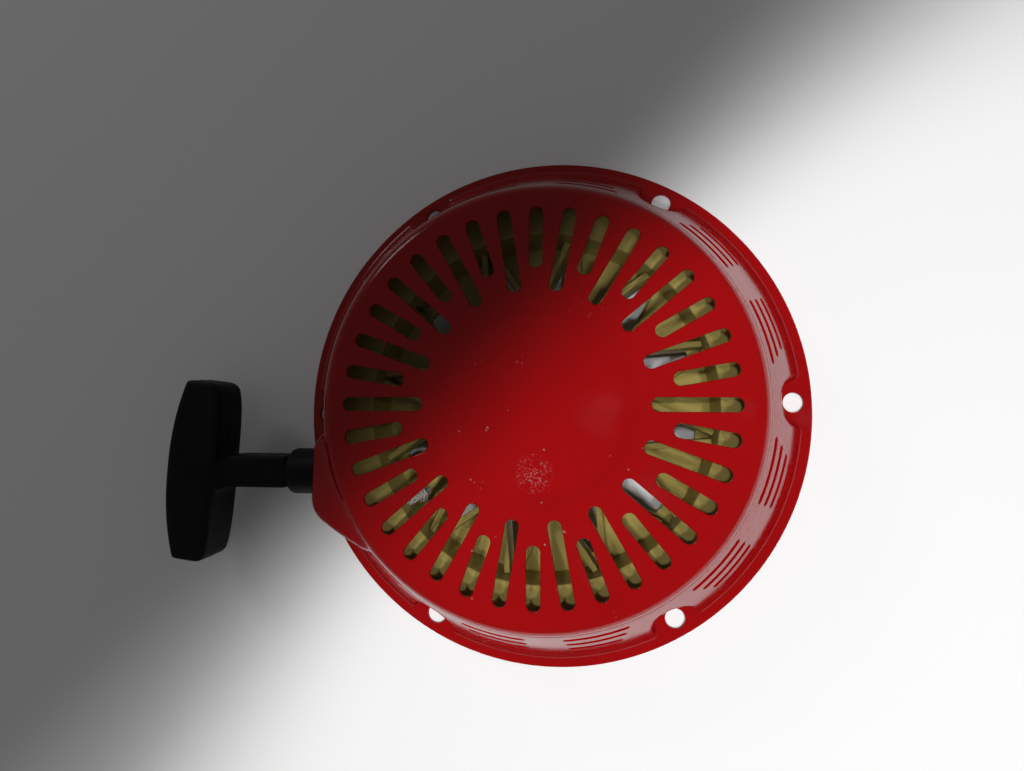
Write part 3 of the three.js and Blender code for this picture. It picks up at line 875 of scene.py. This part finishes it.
def tangentPoint():
    bend = Vector((rope["bendX"], rope["axis"][0]))
    away = bend.length
    angle = math.atan2(bend.y, bend.x) + math.acos(rope["outerLayer"] / away)
    return Vector((cos(angle), sin(angle))) * rope["outerLayer"], math.degrees(angle) % 360


def smoothRoute(points, steps=8):
    """Catmull-Rom points through given ones."""
    out = []
    pts = [Vector(p) for p in points]
    pts = [2 * pts[0] - pts[1]] + pts + [2 * pts[-1] - pts[-2]]
    for a, b, c, d in zip(pts, pts[1:], pts[2:], pts[3:]):
        for i in range(steps):
            t = i / steps
            out.append(0.5 * (2 * b + (c - a) * t + (2 * a - 5 * b + 4 * c - d) * t * t
                              + (3 * b - a - 3 * c + d) * t ** 3))
    return out + [pts[-2]]


def makeRopeRun():
    y, z = rope["axis"]
    touch, _ = tangentPoint()
    bend = Vector((rope["bendX"], y, z))
    run = (Vector((touch.x, touch.y, z)) - bend).normalized()
    length = (touch - bend.xy).length
    route = [Vector((x, y, z)) for x in (-155.6, -151.8)]
    route += [Vector((x, y, z)) for x in range(-151, -103)]
    route += smoothRoute([(-103, y, z), (-99, y, z), (-95.5, y, z), bend + run * 2.4, bend + run * 8], 6)[1:]
    route += [bend + run * (8 + (length - 8) * i / 16) + Vector((0, 0, 2.2)) * (i / 16) ** 2
              for i in range(1, 17)]
    line = tube("pullRope", route, rope["radius"], 16)
    smooth(line, 60, False)
    show(line, "housing", straightYarn, ["rope_run", "rope_tail"])
    line.parent = None
    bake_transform(line)


def makeWinding():
    """From the knot hole, two turns in each layer, ending where the straight run touches."""
    _, end = tangentPoint()
    _, start, height = rope["knotAt"]
    path = [Vector((*polar(63.5, start), height)), Vector((*polar(68, start), height))]
    turns = len(rope["layers"])
    total = turns * 360 + (end - start)
    steps = int(total / 3)
    for i in range(steps + 1):
        swept = total * i / steps
        lane = min(turns - 1, swept / 360)
        low = int(min(lane, turns - 1))
        high = min(low + 1, turns - 1)
        blend = max(0, (swept / 360 - low - 0.88) / 0.12) if low < turns - 1 else 0
        blend = blend * blend * (3 - 2 * blend)
        (r0, z0), (r1, z1) = rope["layers"][low], rope["layers"][high]
        radius, level = r0 + (r1 - r0) * blend, z0 + (z1 - z0) * blend
        if i < 3:
            radius, level = 72.5 + i, height + (level - height) * i / 3
        path.append(Vector((*polar(radius, start + swept), level)))
    coil = tube("ropeWinding", path, rope["radius"], 12)
    smooth(coil, 60, False)
    show(coil, "reel", yarn, ["rope_winding"])


def knot(name, centre, size, thickness):
    """A pulled-tight overhand knot."""
    path = []
    for i in range(72):
        t = 2 * pi * i / 72
        path.append((centre[0] + size * 0.95 * sin(3 * t),
                     centre[1] + size * (sin(t) + 2 * sin(2 * t)),
                     centre[2] + size * (cos(t) - 2 * cos(2 * t))))
    return tube(name, path, thickness, 12, closed=True)


def makeKnots():
    y, z = rope["axis"]
    handleKnot = knot("handleKnot", (rope["handleKnotX"], y, z), 0.95, 2.05)
    end = tube("ropeEnd", [(-158, y + 0.5, z + 0.4), (-160.5, y + 0.8, z + 0.9), (-162.6, y + 1.0, z + 1.2)], 2.2, 12)
    handleKnot = joined("handleKnot", [handleKnot, end])
    smooth(handleKnot, 60, False)
    show(handleKnot, "handle", yarn, ["handle_knot"])
    radius, angle, height = rope["knotAt"]
    reelKnot = knot("reelKnot", (0, 0, 0), 0.95, 1.9)
    reelKnot.data.transform(Matrix.Translation(Vector((*polar(radius - 0.6, angle), height)) * mm)
                            @ Matrix.Rotation(radians(angle), 4, "Z"))
    smooth(reelKnot, 60, False)
    show(reelKnot, "reel", yarn, ["reel_knot"])
    washer = ring("ropeRetainer", [(2.8, -152.2), (6.3, -152.2), (6.3, -150.7), (2.8, -150.7)], 0.3, 48,
                  axis="X", place=(0, y, z))
    smooth(washer, 40)
    show(washer, "handle", zinc, ["rope_retainer"])


makeGuide()
makeRopeRun()
makeWinding()
makeKnots()
print("rope threaded")


# ---------- reel: one nylon moulding ----------

reel = {
    "floor": (14.6, 17.2),
    "rimInner": (68, 70.5),            # radius at the bottom and at the top
    "cup": (38.5, 40.5, 13.5, 40.5),
    "bays": 12,
    "firstWindow": 20,
    "window": (42.5, 63.5, 11.8, 3.6),    # inner and outer radius, half its angle at each
    "web": (13.5, 15.5),
    "ribTop": 24,
    "ribWidth": 3.2,
    "hub": (11.3, 14.5, 9.3),
}


def windowTool(middle):
    near, far, wide, narrow = reel["window"]
    clearSelection()
    bpy.ops.mesh.primitive_cylinder_add(vertices=4, radius=mm, depth=0.012, location=(0, 0, 0.014))
    tool = bpy.context.object
    corners = [polar(far, middle - narrow), polar(far, middle + narrow),
               polar(near, middle + wide), polar(near, middle - wide)]
    settle(tool)
    for v in tool.data.vertices:
        quarter = round(math.degrees(math.atan2(v.co.y, v.co.x)) / 90) % 4
        v.co.x, v.co.y = (c * mm for c in corners[quarter])
    bevelEdges(tool, upright, 1.4, 4)
    return tool


def upright(a, b):
    return abs(a.z - b.z) > (a - b).length * 0.95


def webRib(hand):
    """A web rib beside the window at angle zero, thinner towards its top."""
    start = Vector(polar(39.3, hand * 180 / reel["bays"]))
    end = Vector(polar(69.2, hand * 1.5))
    bottom, top = reel["web"][0] + 0.5, reel["ribTop"]
    clearSelection()
    bpy.ops.mesh.primitive_cube_add(size=1, location=(0, 0, 0))
    rib = bpy.context.object
    run = end - start
    width = reel["ribWidth"]
    rib.data.transform(Matrix.Diagonal((run.length * mm, width * mm, (top - bottom) * mm, 1)))
    selectFaces(rib, lambda c, n: n.z > 0.9)
    bpy.ops.transform.resize(value=(1, 0.8, 1), center_override=(0, 0, top * mm))
    leaveEdit()
    bevelEdges(rib, lambda a, b: a.z > 0 and b.z > 0 and abs(a.x - b.x) > 1, 0.6, 3)
    middle = (start + end) / 2
    turn = math.atan2(run.y, run.x)
    rib.data.transform(Matrix.Translation(Vector((middle.x, middle.y, (top + bottom) / 2)) * mm)
                       @ Matrix.Rotation(turn, 4, "Z"))
    return rib


def makeReel():
    innerBottom, innerTop = reel["rimInner"]
    rim = ring("reel", [(innerBottom, 13.5), (84, 13.5), (84, 15.8), (73, 16.8), (73, 27.2), (84, 28.2),
                        (84, 30.5), (innerTop, 30.5)], 0.7, 144)
    low, high = reel["web"]
    web = ring("web", [(39.5, low), (innerBottom + 1, low), (innerBottom + 1, high), (39.5, high)], 0.05, 144)
    middles = [reel["firstWindow"] + i * 360 / reel["bays"] for i in range(reel["bays"])]
    boolean(web, joined("windows", [windowTool(m) for m in middles]))
    cupIn, cupOut, cupLow, cupTop = reel["cup"]
    cup = ring("cup", [(cupIn, cupLow), (cupOut + 0.2, cupLow), (cupOut, cupTop), (cupIn + 0.15, cupTop)], 0.4, 144)
    bore, hubOut, hubLow = reel["hub"]
    floorLow, floorHigh = reel["floor"]
    hub = ring("hub", [(bore, hubLow), (hubOut, hubLow), (hubOut + 0.2, floorLow - 0.8),
                       (hubOut + 1, floorLow), (cupIn + 1, floorLow), (cupIn + 1, floorHigh), (bore, floorHigh)],
               0.4, 144)
    ribModels = [webRib(-1), webRib(1)]
    ribs = [copied(model, m) for m in middles for model in ribModels]
    for model in ribModels:
        bpy.data.objects.remove(model)
    for part in (web, cup, hub):
        boolean(rim, part, "UNION")
    ribs = joined("ribs", ribs)
    modify(rim, "BOOLEAN", object=ribs, operation="UNION", solver="EXACT", use_self=True)
    bpy.data.objects.remove(ribs)
    radius, angle, height = rope["knotAt"]
    holes = [turned("pinHole", [(0.0001, 8), (2.5, 8), (2.5, 16.8), (0.0001, 16.8)], 24,
                    place=(side * 23.5, 0, 0)) for side in (1, -1)]
    knotHole = turned("knotHole", [(0.0001, 64), (2.9, 64), (2.9, 73), (4, 75), (0.0001, 75)], 24, axis="X")
    knotHole.data.transform(Matrix.Translation((0, 0, height * mm)) @ Matrix.Rotation(radians(angle), 4, "Z"))
    boolean(rim, joined("holes", holes + [knotHole]))
    smooth(rim, 38)
    show(rim, "reel", nylonLook, ["reel"])
    print("reel moulded:", len(rim.data.polygons), "faces")


makeReel()


# ---------- centre post, spring and what clamps the ratchet ----------

post = {
    "radius": 9, "low": 9.3, "flange": (17, 40.9, 42.9),
    "pocket": (6.5, 14),
    "thread": (3.3, 31),
}
spring = {
    "inner": 11.2, "outer": 36.8, "turns": 5, "thickness": 0.8, "low": 18, "high": 38,
}


def makePost():
    r, low = post["radius"], post["low"]
    flange, flangeLow, top = post["flange"]
    pocket, pocketTop = post["pocket"]
    thread, threadTop = post["thread"]
    body = turned("centrePost", [
        (0.0001, threadTop + 1), (thread, threadTop), (thread, pocketTop), (pocket, pocketTop),
        (pocket, low + 0.5), (pocket + 0.5, low), (r - 0.6, low), (r, low + 0.6),
        (r, flangeLow - 0.8), (r + 0.8, flangeLow), (flange - 0.5, flangeLow), (flange, flangeLow + 0.5),
        (flange, top - 0.5), (flange - 0.5, top), (0.0001, top)], 96)
    clearSelection()
    bpy.ops.mesh.primitive_cube_add(size=1, location=(0, 0, 0))
    slit = bpy.context.object
    slit.data.transform(Matrix.Translation(Vector((r, 0, 28)) * mm) @ Matrix.Diagonal((0.004, 0.0016, 0.024, 1)))
    boolean(body, slit)
    smooth(body, 40)
    show(body, "housing", zinc, ["centre_post"])
    bore, _, hubLow = reel["hub"]
    bush = ring("reelBushing", [(r + 0.3, hubLow), (bore - 0.3, hubLow), (bore - 0.3, 17), (r + 0.3, 17)], 0.35, 96)
    smooth(bush, 40)
    show(bush, "reel", bronze, ["reel_bushing"])


def makeRecoilSpring():
    """A flat strip wound outwards; its inner end is bent into the post's slot."""
    reach = spring["outer"] - spring["inner"]
    steps = spring["turns"] * 60
    centre = [Vector((7.6, 0.05)), Vector((9.4, 0.0)), Vector((10.6, 0.25))]
    centre += [Vector(polar(spring["inner"] + reach * i / steps, i * spring["turns"] * 360 / steps))
               for i in range(3, steps + 1)]
    half = spring["thickness"] / 2
    low, high = spring["low"], spring["high"]
    verts, faces = [], []
    section = [(-half, low + 0.2), (-half + 0.2, low), (half - 0.2, low), (half, low + 0.2),
               (half, high - 0.2), (half - 0.2, high), (-half + 0.2, high), (-half, high - 0.2)]
    for i, p in enumerate(centre):
        ahead = centre[min(i + 1, len(centre) - 1)] - centre[max(i - 1, 0)]
        side = Vector((ahead.y, -ahead.x)).normalized()
        verts += [Vector((*(p + side * s), z)) * mm for s, z in section]
    n = len(section)
    for i in range(len(centre) - 1):
        faces += [(i * n + k, i * n + (k + 1) % n, (i + 1) * n + (k + 1) % n, (i + 1) * n + k) for k in range(n)]
    faces += [tuple(reversed(range(n))), tuple((len(centre) - 1) * n + k for k in range(n))]
    mesh = bpy.data.meshes.new("recoilSpring")
    mesh.from_pydata(verts, [], faces)
    strip = bpy.data.objects.new("recoilSpring", mesh)
    bpy.context.scene.collection.objects.link(strip)
    settle(strip)
    smooth(strip, 40)
    show(strip, "housing", springLook, ["recoil_spring"])


def coilPath(radius, low, pitch, turns, steps=28):
    count = int(turns * steps)
    points = []
    for i in range(count + 1):
        swept = i / steps
        points.append(Vector((*polar(radius, 360 * swept), low + pitch * swept)))
    return points


def makeCoils():
    friction = tube("frictionSpring", coilPath(5, 8.75, 1.47, 3), 0.5, 10)
    smooth(friction, 60, False)
    show(friction, "housing", springLook, ["friction_spring"])
    for turn, suffix in ((0, "A"), (180, "B")):
        path = [p + Vector((23.5, 0, 0)) for p in coilPath(3.4, 12.85, 0.8, 1.75)]
        coil = tube("pawlSpring" + suffix, path, 0.35, 8)
        coil.data.transform(Matrix.Rotation(radians(turn), 4, "Z"))
        smooth(coil, 60, False)
        show(coil, "reel", springLook, ["pawl_spring_" + suffix.lower()])


def plate(name, outline, low, high, bevel):
    """A flat part from its outline, with its top and bottom edges rounded."""
    clearSelection()
    bpy.ops.mesh.primitive_circle_add(vertices=len(outline), radius=mm, fill_type="NGON", location=(0, 0, 0))
    part = bpy.context.object
    part.name = name
    for v, (x, y) in zip(part.data.vertices, outline):
        v.co = Vector((x, y, low)) * mm
    editAll(part)
    bpy.ops.mesh.extrude_region_move(TRANSFORM_OT_translate={"value": (0, 0, (high - low) * mm)})
    leaveEdit()
    settle(part)
    bevelEdges(part, lambda a, b: abs(a.z - b.z) < 0.001, bevel, 2)
    return part


def makePawls():
    outline = [(4.4, 1.5), (1.5, 4.6), (-2.5, 4.3), (-4.6, 1), (-4.9, -8), (-5.2, -16), (-2.5, -20.5),
               (1.6, -18.5), (1.2, -13), (3.6, -6)]
    outline = [(x + 23.5, y) for x, y in rounded(outline, 2.4, 4, ends=True)]
    for turn, suffix in ((0, "A"), (180, "B")):
        body = plate("pawl" + suffix, outline, 8.4, 12.2, 0.3)
        boolean(body, turned("bore", [(0.0001, 5), (2.5, 5), (2.5, 15), (0.0001, 15)], 32, place=(23.5, 0, 0)))
        pin = turned("pawlPin" + suffix, [(0.0001, 8.7), (1.8, 8.7), (2.2, 9.1), (2.2, 16.1), (1.8, 16.5),
                                          (0.0001, 16.5)], 32, place=(23.5, 0, 0))
        for part in (body, pin):
            part.data.transform(Matrix.Rotation(radians(turn), 4, "Z"))
            smooth(part, 40)
        show(body, "pawl_" + suffix.lower(), sintered, ["pawl_" + suffix.lower()])
        show(pin, "reel", zinc, ["pawl_pin_" + suffix.lower()])


def makeRatchetGuide():
    radius, reachOut, halfWidth, turn = 16.5, 28.5, 4.5, -38
    root = math.degrees(math.asin(halfWidth / radius))
    outline = []
    for side in (0, 180):
        for x, y in ((reachOut, -halfWidth), (reachOut, halfWidth)):
            corner = Vector((x, y))
            corner.rotate(Matrix.Rotation(radians(turn + side), 2))
            outline.append(tuple(corner))
        outline += [polar(radius, turn + side + root + i * (180 - 2 * root) / 12) for i in range(13)]
    disc = plate("ratchetGuide", rounded(outline, 1.6, 3, ends=True), 6.4, 7.8, 0.25)
    for side in (0, 180):
        clearSelection()
        bpy.ops.mesh.primitive_cube_add(size=1, location=(0, 0, 0))
        tab = bpy.context.object
        tab.data.transform(Matrix.Diagonal((0.0014, 0.009, 0.004, 1)))
        bevelEdges(tab, lambda a, b: a.z > 0 and b.z > 0 and abs(a.x - b.x) > 0.5, 1.6, 4)
        tab.data.transform(Matrix.Rotation(radians(turn + 30 + side), 4, "Z")
                           @ Matrix.Translation(Vector((15.6, 0, 9.3)) * mm))
        boolean(disc, tab, "UNION")
    boolean(disc, turned("hole", [(0.0001, 5), (3.6, 5), (3.6, 9), (0.0001, 9)], 32))
    smooth(disc, 40)
    show(disc, "ratchet_guide", zinc, ["ratchet_guide"])


def makeScrew():
    washer = ring("guideWasher", [(3.4, 5.2), (9, 5.2), (9, 6.1), (3.4, 6.1)], 0.25, 72)
    smooth(washer, 40)
    show(washer, "housing", zinc, ["guide_washer"])
    screw = turned("centreScrew", [
        (0.0001, 29.8), (2.2, 29.8), (3, 29), (3, 4.9), (6.6, 4.9), (6.9, 4.65), (6.9, 4.2), (5.6, 3.6),
        (5.0, 3.6), (0.0001, 3.6)], 64)
    clearSelection()
    bpy.ops.mesh.primitive_cylinder_add(vertices=6, radius=5.9 * mm, depth=3.4 * mm, location=(0, 0, 2.5 * mm))
    head = bpy.context.object
    settle(head)
    bevelEdges(head, upright, 0.25, 2)
    crown = turned("crown", [(0.0001, 0.8), (4.9, 0.8), (5.5, 1.15), (7, 2.4), (7, 5), (0.0001, 5)], 64)
    modify(head, "BOOLEAN", object=crown, operation="INTERSECT", solver="EXACT")
    bpy.data.objects.remove(crown)
    boolean(screw, head, "UNION")
    smooth(screw, 30)
    show(screw, "housing", zinc, ["centre_screw"])


makePost()
makeRecoilSpring()
makeCoils()
makePawls()
makeRatchetGuide()
makeScrew()
print("ratchet and spring fitted")


# floor and light

studio = {
    "floor": (0.8, 0.8, 0.8),
    # five small lamps overhead light the floor up to one soft edge, which crosses the face
    "pool": {"place": (0.19, -0.177, 0.966), "spread": 0.2, "edge": (-0.0125, 0.030, 0.045),
             "along": (0.707, 0.707, 0), "halfCone": 60, "size": 0.025, "softness": 0.05, "power": 45},
    "fill": {"place": (-1.1, 1.0, 0.8), "size": 0.2, "halfCone": 85, "power": 6.5},
    "world": 0.12,
}


def makeFloor():
    clearSelection()
    bpy.ops.mesh.primitive_plane_add(size=12)
    floor = bpy.context.object
    floor.name = "paleFloor"
    floor.data.materials.append(newMaterial("paleFloor", studio["floor"], 0.8, **{"Specular IOR Level": 0.2}))


def softLamp(name, place, axis, size, halfCone, softness, power, glossy):
    data = bpy.data.lights.new(name, "SPOT")
    data.spot_size = 2 * halfCone
    data.spot_blend = softness
    data.shadow_soft_size = size
    data.energy = power
    lamp = bpy.data.objects.new(name, data)
    bpy.context.scene.collection.objects.link(lamp)
    lamp.location = place
    lamp.visible_glossy = glossy
    lamp.rotation_euler = axis.to_track_quat("-Z", "Y").to_euler()


def makePool():
    pool = studio["pool"]
    away = Matrix.Rotation(-radians(pool["halfCone"]), 3, Vector(pool["along"]))
    steps = ((0, 0), (1, 1), (1, -1), (-1, 1), (-1, -1))
    for i, (x, y) in enumerate(steps):
        place = Vector(pool["place"]) + Vector((x, y, 0)) * pool["spread"]
        toEdge = Vector(pool["edge"]) - place
        axis = away @ toEdge
        softLamp(f"poolLamp{i + 1}", place, axis, pool["size"], toEdge.angle(axis), pool["softness"],
                 pool["power"] / len(steps), False)


def makeStudio():
    makeFloor()
    makePool()
    fill = studio["fill"]
    softLamp("fillLamp", fill["place"], -Vector(fill["place"]), fill["size"], radians(fill["halfCone"]), 1,
             fill["power"], True)
    world = bpy.data.worlds.new("softRoom")
    world.use_nodes = True
    background = world.node_tree.nodes["Background"]
    background.inputs["Color"].default_value = (1, 1, 1, 1)
    background.inputs["Strength"].default_value = studio["world"]
    bpy.context.scene.world = world
    bpy.context.scene.view_settings.view_transform = "Standard"


makeStudio()
print("studio lit")
